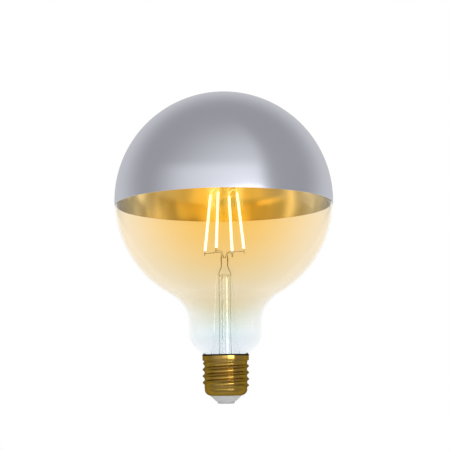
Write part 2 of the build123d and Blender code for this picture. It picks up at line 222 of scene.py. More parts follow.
def turned_mesh(name, outline, turns):
    """The mesh of a closed outline of (radius, height) turned about the lamp's axis.
    The outline runs up the outside and down the inside. Points on the axis become poles."""
    points, rings = [], []
    for radius, height in outline:
        if radius < 1e-6:
            rings.append([len(points)] * turns)
            points.append((0, 0, height * MM))
            continue
        rings.append(list(range(len(points), len(points) + turns)))
        for k in range(turns):
            angle = 2 * pi * k / turns
            points.append((radius * cos(angle) * MM, radius * sin(angle) * MM, height * MM))
    faces = []
    for i, low in enumerate(rings):
        high = rings[(i + 1) % len(rings)]
        for k in range(turns):
            n = (k + 1) % turns
            face = []
            for corner in (low[k], low[n], high[n], high[k]):
                if corner not in face:
                    face.append(corner)
            if len(face) > 2:
                faces.append(face)
    mesh = bpy.data.meshes.new(name)
    mesh.from_pydata(points, [], faces)
    return mesh


def turned(name, outline, material, turns):
    return finish_mesh(name, turned_mesh(name, outline, turns), material)


def settle(piece, slot, *nodes):
    """Fixes a finished piece to the lamp, in place of the solids that it stands for."""
    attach(piece, "root")
    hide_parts(*nodes)


# Nodes
def feed(tree, value, socket):
    """Links a socket, or sets a plain value."""
    if isinstance(value, bpy.types.NodeSocket):
        tree.links.new(value, socket)
    else:
        socket.default_value = value


def set_inputs(node, values):
    """Sets the plain values of a node's named inputs."""
    for name, value in values.items():
        node.inputs[name.replace("_", " ")].default_value = value


def calc(tree, operation, *values):
    """One step of arithmetic on sockets or numbers."""
    made = tree.nodes.new("ShaderNodeMath")
    made.operation = operation
    for value, socket in zip(values, made.inputs):
        feed(tree, value, socket)
    return made.outputs[0]


def between(tree, value, low, high, start=0.0, end=1.0):
    """A value that eases from start to end as another goes from low to high."""
    made = tree.nodes.new("ShaderNodeMapRange")
    made.interpolation_type = "SMOOTHSTEP"
    given = {"Value": value, "From Min": low, "From Max": high, "To Min": start, "To Max": end}
    for name, item in given.items():
        feed(tree, item, made.inputs[name])
    return made.outputs["Result"]


# The mix node's sockets by kind of value: first input, second input and output
MIX_SOCKETS = {"FLOAT": (2, 3, 0), "RGBA": (6, 7, 2)}


def mix(tree, kind, share, first, second, blend="MIX"):
    """A number or a colour that turns into another as a share goes from 0 to 1."""
    made = tree.nodes.new("ShaderNodeMix")
    made.data_type = kind
    made.blend_type = blend
    first_socket, second_socket, result = MIX_SOCKETS[kind]
    feed(tree, share, made.inputs[0])
    feed(tree, first, made.inputs[first_socket])
    feed(tree, second, made.inputs[second_socket])
    return made.outputs[result]


def mix_colours(tree, share, first, second, blend="MIX"):
    return mix(tree, "RGBA", share, first, second, blend)


def colour(red, green, blue):
    return (red, green, blue, 1)


BLACK = colour(0, 0, 0)
WHITE = colour(1, 1, 1)


def split(tree, vector):
    """The three parts of a vector."""
    parts = tree.nodes.new("ShaderNodeSeparateXYZ")
    tree.links.new(vector, parts.inputs[0])
    return parts.outputs


def object_places(tree):
    """The place on the piece, and its three parts."""
    place = tree.nodes.new("ShaderNodeTexCoord").outputs["Object"]
    return place, split(tree, place)


def axis_distance(tree, parts):
    """How far a place is from the lamp's axis."""
    x_square = calc(tree, "MULTIPLY", parts[0], parts[0])
    y_square = calc(tree, "MULTIPLY", parts[1], parts[1])
    return calc(tree, "SQRT", calc(tree, "ADD", x_square, y_square))


def seen_aside(tree):
    """How far a surface turns away from the eye, from 0 face on to 1 edge on."""
    weight = tree.nodes.new("ShaderNodeLayerWeight")
    weight.inputs["Blend"].default_value = 0.5
    return weight.outputs["Facing"]


def noise(tree, place, scale, detail=3.0, stretch=(1, 1, 1)):
    """Noise on the piece, finer where the stretch is larger."""
    mapping = tree.nodes.new("ShaderNodeMapping")
    mapping.inputs["Scale"].default_value = stretch
    tree.links.new(place, mapping.inputs["Vector"])
    made = tree.nodes.new("ShaderNodeTexNoise")
    tree.links.new(mapping.outputs[0], made.inputs["Vector"])
    feed(tree, scale, made.inputs["Scale"])
    made.inputs["Detail"].default_value = detail
    return made.outputs["Fac"]


def new_group(name, inputs, outputs):
    """An empty shader node group with named number inputs and outputs."""
    group = bpy.data.node_groups.new(name, "ShaderNodeTree")
    for label, default in inputs:
        socket = group.interface.new_socket(label, in_out="INPUT", socket_type="NodeSocketFloat")
        socket.default_value = default
    for label in outputs:
        group.interface.new_socket(label, in_out="OUTPUT", socket_type="NodeSocketFloat")
    return group, group.nodes.new("NodeGroupInput"), group.nodes.new("NodeGroupOutput")


def make_surface_grain():
    """Fine grain and broad unevenness: a share for roughness or colour, and a height for a bump."""
    group, given, out = new_group(
        "surface_grain",
        [("Fine Scale", 2000.0), ("Broad Scale", 60.0), ("Broad Share", 0.5)],
        ["Share", "Height"],
    )
    place, _ = object_places(group)
    fine = noise(group, place, given.outputs["Fine Scale"])
    broad = noise(group, place, given.outputs["Broad Scale"])
    lean = calc(group, "MULTIPLY", calc(group, "SUBTRACT", broad, fine), given.outputs["Broad Share"])
    group.links.new(calc(group, "ADD", fine, lean), out.inputs["Share"])
    group.links.new(fine, out.inputs["Height"])
    return group


def make_crest_darkening():
    """A share that grows from a turned metal piece's grooves out to its crests, broken up by noise."""
    group, given, out = new_group(
        "crest_darkening",
        [("Groove Radius", 0.012), ("Crest Radius", 0.0131), ("Patch Scale", 400.0), ("Patches", 0.5)],
        ["Tarnish"],
    )
    place, parts = object_places(group)
    sizes = given.outputs
    depth = between(group, axis_distance(group, parts), sizes["Groove Radius"], sizes["Crest Radius"])
    patch = noise(group, place, sizes["Patch Scale"])
    uneven = calc(group, "MULTIPLY", calc(group, "SUBTRACT", patch, 0.5), sizes["Patches"])
    group.links.new(calc(group, "ADD", depth, uneven), out.inputs["Tarnish"])
    return group


SURFACE_GRAIN = make_surface_grain()
CREST_DARKENING = make_crest_darkening()


def use_group(tree, group, **values):
    made = tree.nodes.new("ShaderNodeGroup")
    made.node_tree = group
    set_inputs(made, values)
    return made.outputs


def new_material(name, **plain):
    """A material with one main shader and the plain values of its named sockets."""
    material = bpy.data.materials.new(name)
    material.use_nodes = True
    tree = material.node_tree
    shader = tree.nodes["Principled BSDF"]
    set_inputs(shader, plain)
    return material, tree, shader


def add_bump(tree, shader, height, strength, depth):
    bump = tree.nodes.new("ShaderNodeBump")
    set_inputs(bump, {"Strength": strength, "Distance": depth * MM})
    tree.links.new(height, bump.inputs["Height"])
    tree.links.new(bump.outputs[0], shader.inputs["Normal"])


# How strongly a grained finish shows its grain in relief
GRAIN_RELIEF = 0.4


def grained(name, dark, light, rough, scales, depth, **plain):
    """A solid finish: colour and roughness vary with fine grain and broad patches."""
    material, tree, shader = new_material(name, **plain)
    fine, broad = scales
    grain = use_group(tree, SURFACE_GRAIN, Fine_Scale=fine, Broad_Scale=broad)
    shade = mix_colours(tree, grain["Share"], colour(*dark), colour(*light))
    tree.links.new(shade, shader.inputs["Base Color"])
    tree.links.new(between(tree, grain["Share"], 0.25, 0.75, *rough), shader.inputs["Roughness"])
    add_bump(tree, shader, grain["Height"], GRAIN_RELIEF, depth)
    return material


# How strongly each glass bends light
GLOBE_BEND = 1.12
STEM_BEND = 1.12
EXHAUST_BEND = 1.45

# Amber of the globe's wall by height: millimetres, then what one wall lets through
AMBER_BY_HEIGHT = [
    (30, (0.826, 0.887, 0.946)),
    (40, (0.885, 0.941, 0.949)),
    (50, (0.859, 0.858, 0.748)),
    (60, (0.82, 0.671, 0.353)),
    (75, (0.907, 0.704, 0.308)),
    (92, (1.0, 0.754, 0.34)),
    (112, (1.0, 0.752, 0.306)),
    (114, (1.0, 0.86, 0.35)),
    (178, (1.0, 0.86, 0.35)),
]
# The tint fades from the middle of what is seen towards its edge, down to a share of its own; this painted
# paleness stands in for the reflections along the globe's edges
AMBER_EDGE_SHARE = 0.29
AMBER_EDGE_FADE = 3.04
# Under the crown it fades to nothing, and faster, across this much of the rim
CROWN_EDGE_FADE = 4.0
CROWN_RIM_BLEND = 1.0
# What a wall lets through besides its tint
GLASS_CLARITY = 0.975
# Slight waves of blown glass
GLASS_WAVE_SCALE = 14.0
GLASS_WAVE_RELIEF = 0.05
GLASS_WAVE_DEPTH = 0.5


def amber_at(tree, height):
    """The wall's colour at a height in metres, from the table above."""
    low, high = AMBER_BY_HEIGHT[0][0], AMBER_BY_HEIGHT[-1][0]
    share = tree.nodes.new("ShaderNodeMapRange")
    tree.links.new(height, share.inputs["Value"])
    set_inputs(share, {"From Min": low * MM, "From Max": high * MM})
    ramp = tree.nodes.new("ShaderNodeValToRGB")
    tree.links.new(share.outputs["Result"], ramp.inputs["Fac"])
    stops = ramp.color_ramp.elements
    while len(stops) < len(AMBER_BY_HEIGHT):
        stops.new(0.5)
    for stop, (z, shade) in zip(stops, AMBER_BY_HEIGHT):
        stop.position = (z - low) / (high - low)
        stop.color = colour(*shade)
    return ramp.outputs["Color"]


def make_globe_glass():
    """Clear glass with an amber tint at its widest, colourless at the neck, and paler where seen edge on as a
    painted reflection.
    """
    material, tree, shader = new_material("amber_fading_glass", Transmission_Weight=1.0, IOR=GLOBE_BEND,
                                          Metallic=0.0)
    place, parts = object_places(tree)
    height = parts[2]
    amber = amber_at(tree, height)
    below_rim, above_rim = CROWN_RIM_Z - CROWN_RIM_BLEND, CROWN_RIM_Z + CROWN_RIM_BLEND
    crowned = between(tree, height, below_rim * MM, above_rim * MM)
    fade = between(tree, crowned, 0, 1, AMBER_EDGE_FADE, CROWN_EDGE_FADE)
    # Painted reflection: the tint pales towards the edges of what is seen
    middle = calc(tree, "POWER", calc(tree, "SUBTRACT", 1.0, seen_aside(tree)), fade)
    edge_share = between(tree, crowned, 0, 1, AMBER_EDGE_SHARE, 0.0)
    share = calc(tree, "MULTIPLY_ADD", middle, calc(tree, "SUBTRACT", 1.0, edge_share), edge_share)
    tint = mix_colours(tree, share, WHITE, amber)
    clarity = colour(GLASS_CLARITY, GLASS_CLARITY, GLASS_CLARITY)
    tint = mix_colours(tree, 1.0, tint, clarity, "MULTIPLY")
    tree.links.new(tint, shader.inputs["Base Color"])
    shader.inputs["Roughness"].default_value = 0.0
    waves = noise(tree, place, GLASS_WAVE_SCALE, detail=1)
    add_bump(tree, shader, waves, GLASS_WAVE_RELIEF, GLASS_WAVE_DEPTH)
    return material


def make_stem_glass(name, bend, **plain):
    """Clear drawn glass that bends light by a given index."""
    material, tree, shader = new_material(name, Transmission_Weight=1.0, IOR=bend, Metallic=0.0, **plain)
    place, _ = object_places(tree)
    streak = noise(tree, place, 300.0, stretch=(1, 1, 0.1))
    tint = mix_colours(tree, streak, colour(0.97, 0.985, 0.98), colour(0.99, 0.995, 0.995))
    tree.links.new(tint, shader.inputs["Base Color"])
    shader.inputs["Roughness"].default_value = 0.0
    return material


# How much painted shade darkens the mirror where it is seen edge on
MIRROR_EDGE_SHADE = 0.12
# The inner mirror's fine ripple, which blurs what it shows
MIRROR_RIPPLE_SCALE = 2500.0
MIRROR_RIPPLE_DEPTH = 0.015


def crown_outside(tree, parts):
    """1 on the crown's outer face, and 0 where the glass backs it."""
    up = calc(tree, "SUBTRACT", parts[2], GLOBE_CENTRE_Z * MM)
    out_square = calc(tree, "POWER", axis_distance(tree, parts), 2)
    reach = calc(tree, "SQRT", calc(tree, "ADD", out_square, calc(tree, "POWER", up, 2)))
    middle = (GLASS_RADIUS + CROWN_COAT / 2 - CROWN_BITE / 2) * MM
    return calc(tree, "GREATER_THAN", reach, middle)


def make_crown_silver():
    """Satin lacquered silver outside, bright mirror where the glass backs it, with painted shade where the
    mirror is seen edge on.
    """
    material, tree, shader = new_material("satin_silver_crown", Metallic=1.0)
    place, parts = object_places(tree)
    outside = crown_outside(tree, parts)
    inside = calc(tree, "SUBTRACT", 1.0, outside)
    grain = use_group(tree, SURFACE_GRAIN, Fine_Scale=2500.0, Broad_Scale=25.0, Broad_Share=0.7)
    satin = mix_colours(tree, grain["Share"], colour(0.8, 0.815, 0.91), colour(0.83, 0.845, 0.94))
    streaks = between(tree, noise(tree, place, 70.0, detail=2, stretch=(1, 1, 0.04)), 0.3, 0.7)
    mirror = mix_colours(tree, streaks, colour(0.88, 0.88, 0.86), colour(1.0, 1.0, 0.99))
    # Painted shade: the mirror darkens where it is seen edge on
    edge_shade = between(tree, seen_aside(tree), 0.05, 0.6, 0.0, MIRROR_EDGE_SHADE)
    mirror = mix_colours(tree, edge_shade, mirror, BLACK)
    tree.links.new(mix_colours(tree, outside, mirror, satin), shader.inputs["Base Color"])
    satin_rough = between(tree, grain["Share"], 0.3, 0.7, 0.2, 0.25)
    tree.links.new(calc(tree, "MULTIPLY", outside, satin_rough), shader.inputs["Roughness"])
    ripple = calc(tree, "MULTIPLY", noise(tree, place, MIRROR_RIPPLE_SCALE, detail=1), inside)
    add_bump(tree, shader, ripple, 1.0, MIRROR_RIPPLE_DEPTH)
    return material


# How brightly the rods shine, and how brightly the wires beside their heads glow with painted light that
# stands in for the rods' light on them
ROD_LIGHT = 2.6
WIRE_PAINTED_GLOW = 0.7


def make_filament_glow():
    """Warm silicone over a row of tiny lit chips."""
    material, tree, shader = new_material("lit_filament", Roughness=0.45, Emission_Strength=ROD_LIGHT)
    place, parts = object_places(tree)
    row = calc(tree, "SINE", calc(tree, "MULTIPLY", parts[2], 2 * pi / (CHIP_PITCH * MM)))
    share = calc(tree, "MULTIPLY_ADD", row, 0.5, 0.5)
    glow = mix_colours(tree, share, colour(0.5, 0.66, 0.95), colour(0.54, 0.7, 1.0))
    tree.links.new(glow, shader.inputs["Emission Color"])
    skin = mix_colours(tree, noise(tree, place, 500.0), colour(0.95, 0.66, 0.2), colour(0.98, 0.78, 0.35))
    tree.links.new(skin, shader.inputs["Base Color"])
    return material


# How much painted shade darkens the brass where it turns away from the eye
BRASS_EDGE_SHADE = 0.25
# How much its lacquer shows face on, and how much seen aside
LACQUER_FACE_ON = 0.7
LACQUER_ASIDE = 0.12


def make_cap_brass():
    """Yellow brass, lacquered, darker towards the thread's crests, with painted shade where it turns away and
    a painted shadow along the lip.
    """
    material, tree, shader = new_material("rolled_brass", Metallic=1.0, Specular_Tint=colour(0.5, 0.43, 0.24),
                                          Coat_IOR=1.7, Coat_Roughness=0.08)
    place, parts = object_places(tree)
    height = parts[2]
    # Darker and rougher towards the thread's crests, in patches, fading out below the collar
    crest_dark = use_group(tree, CREST_DARKENING, Groove_Radius=THREAD_FOOT_RADIUS * MM,
                        Crest_Radius=CREST_RADIUS * MM, Patch_Scale=350.0, Patches=0.6)
    lines = noise(tree, place, 120.0, detail=4, stretch=(1, 1, 14))
    clean = mix_colours(tree, lines, colour(0.43, 0.255, 0.02), colour(0.55, 0.33, 0.033))
    below_collar = between(tree, height, CREST_DARK_FADE_Z * MM, THREAD_HEAD_Z * MM, 1, 0)
    crest_dark_share = calc(tree, "MULTIPLY", crest_dark["Tarnish"], below_collar)
    metal = mix_colours(tree, crest_dark_share, clean, colour(0.37, 0.22, 0.02))
    # Painted shadow: the lip is coloured near black, for the shaded gap between the brass and the glass
    lip_shadow = between(tree, height, LIP_SHADE_LOW_Z * MM, LIP_SHADE_FULL_Z * MM)
    metal = mix_colours(tree, lip_shadow, metal, colour(0.004, 0.003, 0.002))
    aside = seen_aside(tree)
    # Painted shade: the brass is darkened towards black where it turns away from the eye
    metal = mix_colours(tree, between(tree, aside, 0.25, 0.85, 0.0, BRASS_EDGE_SHADE), metal, BLACK)
    tree.links.new(metal, shader.inputs["Base Color"])
    lacquer = between(tree, aside, 0.1, 0.45, LACQUER_FACE_ON, LACQUER_ASIDE)
    tree.links.new(lacquer, shader.inputs["Coat Weight"])
    rough = between(tree, crest_dark_share, 0.0, 1.0, 0.13, 0.22)
    tree.links.new(rough, shader.inputs["Roughness"])
    add_bump(tree, shader, lines, 0.15, 0.05)
    return material


def make_round_wire():
    """Polished wire, tinted brown by heat above the stem's press, with a painted glow beside the filaments'
    heads for the rods' light on it.
    """
    material, tree, shader = new_material("bright_drawn_wire", Metallic=1.0, Emission_Strength=WIRE_PAINTED_GLOW)
    place, parts = object_places(tree)
    height = parts[2]
    draw = noise(tree, place, 900.0, stretch=(1, 1, 0.15))
    bright = mix_colours(tree, draw, colour(0.95, 0.94, 0.93), colour(0.99, 0.99, 0.98))
    heated = mix_colours(tree, draw, colour(0.45, 0.32, 0.17), colour(0.6, 0.45, 0.26))
    above_press = between(tree, height, WIRE_BRIGHT_Z * MM, WIRE_HEATED_Z * MM)
    below_feet = between(tree, height, WIRE_TINT_END_Z * MM, WIRE_CLEAN_Z * MM, 1, 0)
    burn = calc(tree, "MULTIPLY", above_press, below_feet)
    tree.links.new(mix_colours(tree, burn, bright, heated), shader.inputs["Base Color"])
    # Painted light: the wires beside the rods' heads glow as if lit by the rods
    near_heads = between(tree, height, ROD_LIGHT_LOW_Z * MM, ROD_LIGHT_FULL_Z * MM)
    painted_glow = mix_colours(tree, near_heads, BLACK, colour(1.0, 0.8, 0.5))
    tree.links.new(painted_glow, shader.inputs["Emission Color"])
    shader.inputs["Roughness"].default_value = 0.4
    return material


def make_board():
    """Green mask with copper tracks that show through it."""
    material, tree, shader = new_material("green_board", Metallic=0.0, Coat_Weight=0.3)
    place, parts = object_places(tree)
    track = tree.nodes.new("ShaderNodeTexBrick")
    set_inputs(track, {"Scale": 320.0, "Mortar Size": 0.06, "Color1": colour(0.03, 0.16, 0.07),
                       "Color2": colour(0.04, 0.2, 0.09), "Mortar": colour(0.09, 0.32, 0.14)})
    upright = tree.nodes.new("ShaderNodeCombineXYZ")
    tree.links.new(parts[0], upright.inputs[0])
    tree.links.new(parts[2], upright.inputs[1])
    tree.links.new(upright.outputs[0], track.inputs["Vector"])
    tree.links.new(track.outputs["Color"], shader.inputs["Base Color"])
    tree.links.new(between(tree, noise(tree, place, 700.0), 0.3, 0.7, 0.3, 0.5), shader.inputs["Roughness"])
    return material


# Globe, crown and stem
def envelope_side(inset):
    """The globe's outline from the seal up to the pole, set in from its outer face."""
    lower_radius = GLASS_RADIUS - LOWER_ARC_OFFSET
    lower = (LOWER_ARC_OFFSET, GLOBE_CENTRE_Z)
    reach = lower_radius + NECK_ARC_RADIUS
    neck_x = NECK_RADIUS + NECK_ARC_RADIUS
    neck_z = GLOBE_CENTRE_Z - sqrt(reach ** 2 - (neck_x - LOWER_ARC_OFFSET) ** 2)
    leave = atan2(neck_z - GLOBE_CENTRE_Z, neck_x - LOWER_ARC_OFFSET)
    shoulder = (NECK_RADIUS - SHOULDER_RADIUS, SHOULDER_TOP_Z)
    shoulder_end = polar(shoulder, SHOULDER_RADIUS - inset, -SHOULDER_TURN)
    seal_r = SEAL_RADIUS - inset
    drop = (shoulder_end[0] - seal_r) / tan(SHOULDER_TURN)
    points = [(seal_r, SEAL_Z), (seal_r, shoulder_end[1] - drop)]
    points += arc(shoulder, SHOULDER_RADIUS - inset, -SHOULDER_TURN, 0, 16)
    points += arc((neck_x, neck_z), NECK_ARC_RADIUS + inset, pi, leave + pi, 20)
    points += arc(lower, lower_radius - inset, leave, 0, 60)[1:]
    points += arc((0, GLOBE_CENTRE_Z), GLASS_RADIUS - inset, 0, pi / 2, 60)[1:]
    points[-1] = (0, GLOBE_CENTRE_Z + GLASS_RADIUS - inset)
    return points


def make_globe(material):
    outline = envelope_side(0) + envelope_side(GLASS_WALL)[::-1]
    settle(turned("globe_glass", outline, material, GLOBE_TURNS), "globe_glass", "glass_envelope")


def crown_side(lift):
    """The crown's outline from its rim up to the pole, at a lift off the glass."""
    radius = GLASS_RADIUS + lift
    lower = (LOWER_ARC_OFFSET, GLOBE_CENTRE_Z)
    lower_radius = radius - LOWER_ARC_OFFSET
    rim = asin((CROWN_RIM_Z - GLOBE_CENTRE_Z) / lower_radius)
    points = arc(lower, lower_radius, rim, 0, 4)
    points += arc((0, GLOBE_CENTRE_Z), radius, 0, pi / 2, 60)[1:]
    points[-1] = (0, GLOBE_CENTRE_Z + radius)
    return points


def make_crown(material):
    outline = crown_side(CROWN_COAT) + crown_side(-CROWN_BITE)[::-1]
    settle(turned("silver_crown", outline, material, GLOBE_TURNS), "silver_crown", "crown_mirror")


def flare_side(inset):
    """The stem's flare from its rim up to its waist, where it runs straight on."""
    out, rise = STEM_RIM_RADIUS - WAIST_RADIUS, WAIST_Z - SEAL_Z
    radius = (out ** 2 + rise ** 2) / (2 * out)
    return arc((WAIST_RADIUS - inset + radius, WAIST_Z), radius, pi + asin(rise / radius), pi, 24)


def press_flat(point):
    """Squashes the stem's head between two flats, as the press does while the glass is soft."""
    x, y, z = point
    half = PRESS_HALF + max(PRESS_FLAT_Z * MM - z, 0) / MM
    if half > 3 * HEAD_RADIUS:
        return point
    share = (1 + (abs(y / MM) / half) ** PRESS_SHARPNESS) ** (1 / PRESS_SHARPNESS)
    return (x, y / share, z)


def make_stem(material):
    """A flared tube that ends in a pressed head, with the bore's round end inside."""
    waist = (WAIST_RADIUS, WAIST_Z)
    head = arc((HEAD_RADIUS - HEAD_CORNER, HEAD_Z), HEAD_CORNER, 0, PRESS_LEAN, 3)
    press_corner = (PRESS_TOP_RADIUS - PRESS_CORNER, PRESS_TOP_Z - PRESS_CORNER)
    top = arc(press_corner, PRESS_CORNER, PRESS_LEAN, pi / 2, 8)
    bore_corner = (HEAD_RADIUS - STEM_WALL - BORE_CORNER, BORE_TOP_Z - BORE_CORNER)
    outline = [(STEM_RIM_RADIUS - STEM_WALL, STEM_RIM_Z), (SEAL_RADIUS, STEM_RIM_Z), (SEAL_RADIUS, SEAL_Z)]
    outline += flare_side(0)
    outline += straight(waist, (HEAD_RADIUS, HEAD_Z), 12)
    outline += head + straight(head[-1], top[0], 16) + top
    outline += [(0, PRESS_TOP_Z), (0, BORE_TOP_Z)]
    outline += arc(bore_corner, BORE_CORNER, pi / 2, 0, 6)
    outline += [(WAIST_RADIUS - STEM_WALL, WAIST_Z)]
    outline += flare_side(STEM_WALL)[::-1][1:]
    mesh = turned_mesh("stem", outline, STEM_TURNS)
    for vertex in mesh.vertices:
        vertex.co = press_flat(vertex.co)
    settle(finish_mesh("stem", mesh, material, STEM_CRISP_EDGE), "stem_glass", "glass_stem")


def make_exhaust(material):
    """The tube that the lamp was pumped through, drawn shut at its lower end."""
    inner = EXHAUST_RADIUS - EXHAUST_WALL
    tip = (0, EXHAUST_TIP_Z + EXHAUST_RADIUS)
    top = BORE_TOP_Z + EXHAUST_SUNK
    outline = arc(tip, EXHAUST_RADIUS, -pi / 2, 0, 10)
    outline[0] = (0, EXHAUST_TIP_Z)
    outline += [(EXHAUST_RADIUS, top), (inner, top)]
    outline += arc(tip, inner, 0, -pi / 2, 10)
    outline[-1] = (0, tip[1] - inner)
    settle(turned("exhaust_glass", outline, material, EXHAUST_TURNS), "stem_glass", "exhaust_tube")


# Filaments
def make_filament(index, material):
    """A rod with domed ends, between its place on the foot ring and on the narrower head ring."""
    angle = FIRST_ANGLE + 360 / FILAMENT_COUNT * index
    foot, head = around(FOOT_RING, angle, FOOT_Z), around(HEAD_RING, angle, HEAD_TOP_Z)
    length = (head - foot).length / MM
    dome_middle = FILAMENT_RADIUS - FILAMENT_DOME
    outline = [(0, 0)]
    outline += arc((dome_middle, FILAMENT_DOME), FILAMENT_DOME, -pi / 2, 0, 6)
    outline += straight((FILAMENT_RADIUS, 0), (FILAMENT_RADIUS, length), 8)
    outline += arc((dome_middle, length - FILAMENT_DOME), FILAMENT_DOME, 0, pi / 2, 6)
    outline += [(0, length)]
    name = f"filament_rod_{index + 1}"
    mesh = turned_mesh(name, outline, FILAMENT_TURNS)
    turn = (head - foot).to_track_quat("Z", "Y").to_matrix().to_4x4()
    mesh.transform(Matrix.Translation(foot) @ turn)
    settle(finish_mesh(name, mesh, material), "filament", f"filament_{index + 1}")


# Screw cap
def thread_push(tree, given, place):
    """How far the rolls push the shell outwards at a place, as a vector."""
    parts = split(tree, place)
    x, y, z = parts
    radius = axis_distance(tree, parts)
    turn = calc(tree, "ARCTAN2", y, x)
    rise = calc(tree, "SUBTRACT", z, given["Foot Height"])
    left = calc(tree, "SUBTRACT", given["Head Height"], z)
    run_in = between(tree, rise, 0.0, given["Run Out"])
    run_out = between(tree, left, 0.0, given["Run Out"])
    whole = calc(tree, "SUBTRACT", given["Head Height"], given["Foot Height"])
    widen = calc(tree, "SUBTRACT", given["Head Radius"], given["Foot Radius"])
    widened = calc(tree, "MULTIPLY", widen, calc(tree, "DIVIDE", rise, whole))
    plain = calc(tree, "ADD", given["Foot Radius"], widened)
    climb = calc(tree, "DIVIDE", calc(tree, "SUBTRACT", z, given["Start Height"]), given["Pitch"])
    phase = calc(tree, "SUBTRACT", calc(tree, "MULTIPLY", climb, 2 * pi), turn)
    height = calc(tree, "MULTIPLY_ADD", calc(tree, "COSINE", phase), 0.5, 0.5)
    height = calc(tree, "POWER", height, given["Crest Sharpness"])
    root = calc(tree, "SUBTRACT", given["Crest Radius"], given["Thread Depth"])
    wave = calc(tree, "MULTIPLY_ADD", given["Thread Depth"], height, root)
    share = calc(tree, "MULTIPLY", run_in, run_out)
    push = calc(tree, "MULTIPLY", share, calc(tree, "SUBTRACT", wave, plain))
    outward = tree.nodes.new("ShaderNodeCombineXYZ")
    tree.links.new(calc(tree, "MULTIPLY", calc(tree, "DIVIDE", x, radius), push), outward.inputs[0])
    tree.links.new(calc(tree, "MULTIPLY", calc(tree, "DIVIDE", y, radius), push), outward.inputs[1])
    return outward.outputs[0]


def rolling_tree(material):
    """Rolls a right-hand thread into a plain drawn shell."""
    tree = bpy.data.node_groups.new("rolled_thread", "GeometryNodeTree")
    tree.interface.new_socket("Shell", in_out="INPUT", socket_type="NodeSocketGeometry")
    sizes = [
        ("Pitch", PITCH * MM), ("Crest Radius", CREST_RADIUS * MM), ("Thread Depth", THREAD_DEPTH * MM),
        ("Start Height", THREAD_START_Z * MM), ("Crest Sharpness", CREST_SHARPNESS),
        ("Foot Height", THREAD_FOOT_Z * MM), ("Head Height", THREAD_HEAD_Z * MM), ("Run Out", RUN_OUT * MM),
        ("Foot Radius", THREAD_FOOT_RADIUS * MM), ("Head Radius", THREAD_HEAD_RADIUS * MM),
    ]
    for label, _ in sizes:
        tree.interface.new_socket(label, in_out="INPUT", socket_type="NodeSocketFloat")
    tree.interface.new_socket("Shell", in_out="OUTPUT", socket_type="NodeSocketGeometry")
    given = tree.nodes.new("NodeGroupInput").outputs
    out = tree.nodes.new("NodeGroupOutput")
    place = tree.nodes.new("GeometryNodeInputPosition").outputs[0]
    shift = tree.nodes.new("GeometryNodeSetPosition")
    tree.links.new(given["Shell"], shift.inputs["Geometry"])
    tree.links.new(thread_push(tree, given, place), shift.inputs["Offset"])
    rolled = tree.nodes.new("GeometryNodeRealizeInstances")
    tree.links.new(shift.outputs[0], rolled.inputs[0])
    paint = tree.nodes.new("GeometryNodeSetMaterial")
    paint.inputs["Material"].default_value = material
    tree.links.new(rolled.outputs[0], paint.inputs["Geometry"])
    tree.links.new(paint.outputs[0], out.inputs[0])
    return tree, sizes


def lip_side(wall, flared):
    """The lip's outline above the collar, plain inside and flared outside."""
    if not flared:
        return [(wall, LIP_FOOT_Z), (wall, CAP_TOP_Z)]
    brim = wall + LIP_FLARE
    return [(wall, LIP_FOOT_Z), (wall + LIP_FLARE * LIP_SWELL_SHARE, LIP_FOOT_Z + LIP_SWELL_RISE),
            (brim, LIP_FOOT_Z + LIP_FLARE_RISE), (brim, CAP_TOP_Z - LIP_EDGE), (brim - LIP_EDGE, CAP_TOP_Z)]


def shell_side(inset):
    """The plain shell's outline from its curled foot up to the collar's lip, set in by the sheet."""
    foot = (THREAD_FOOT_RADIUS - inset, THREAD_FOOT_Z)
    head = (THREAD_HEAD_RADIUS - inset, THREAD_HEAD_Z)
    flange_z = THREAD_HEAD_Z + inset
    points = arc(BOWL_CENTRE, BOWL_RADIUS - inset, -BOWL_TURN, -BOWL_END_TURN, 14)
    points += [foot] + straight(foot, head, THREAD_STEPS)
    points += [(head[0], flange_z - FLANGE_EASE_DOWN), (head[0] + FLANGE_EASE_OUT, flange_z)]
    bend = (COLLAR_RADIUS - COLLAR_BEND, THREAD_HEAD_Z + COLLAR_BEND)
    points += arc(bend, COLLAR_BEND - inset, -pi / 2, 0, 5)
    return points + lip_side(COLLAR_RADIUS - inset, flared=inset == 0)


def make_shell(material):
    """A drawn shell with the thread rolled into it."""
    outline = shell_side(0) + shell_side(SHEET)[::-1]
    blank = bpy.data.objects.new("drawn_shell", turned_mesh("drawn_shell", outline, CAP_TURNS))
    bpy.context.scene.collection.objects.link(blank)
    tree, sizes = rolling_tree(material)
    roller = blank.modifiers.new("roll", "NODES")
    roller.node_group = tree
    sockets = {item.name: item.identifier for item in tree.interface.items_tree if item.in_out == "INPUT"}
    for label, value in sizes:
        roller[sockets[label]] = value
    rolled = bpy.data.meshes.new_from_object(blank.evaluated_get(bpy.context.evaluated_depsgraph_get()))
    rolled.name = "screw_cap"
    blank.modifiers.remove(roller)
    bpy.data.objects.remove(blank)
    settle(finish_mesh("screw_cap", rolled, material), "cap_brass", "screw_shell")


def make_insulator(material):
    """A bored cone with rounded corners, whose top sits in the shell's curled foot."""
    bore = (INSULATOR_BORE, INSULATOR_FOOT_Z)
    foot = (INSULATOR_FOOT_RADIUS, INSULATOR_FOOT_Z)
    mouth = polar(BOWL_CENTRE, BOWL_RADIUS, -BOWL_TURN)
    seat = polar(BOWL_CENTRE, BOWL_RADIUS - SHEET, -BOWL_TURN)
    bed_radius = BOWL_RADIUS - INSULATOR_BED
    rest = asin((THREAD_FOOT_Z - INSULATOR_TOP_Z) / bed_radius)
    outline = [bore]
    outline += rounded(bore, foot, mouth, INSULATOR_EDGE)
    outline += rounded(foot, mouth, bore, INSULATOR_EDGE)
    outline += [seat] + arc(BOWL_CENTRE, bed_radius, -BOWL_TURN, -rest, 8)
    outline += [(INSULATOR_BORE, INSULATOR_TOP_Z)]
    settle(turned("insulator_button", outline, material, CAP_TURNS), "insulator", "cap_insulator")


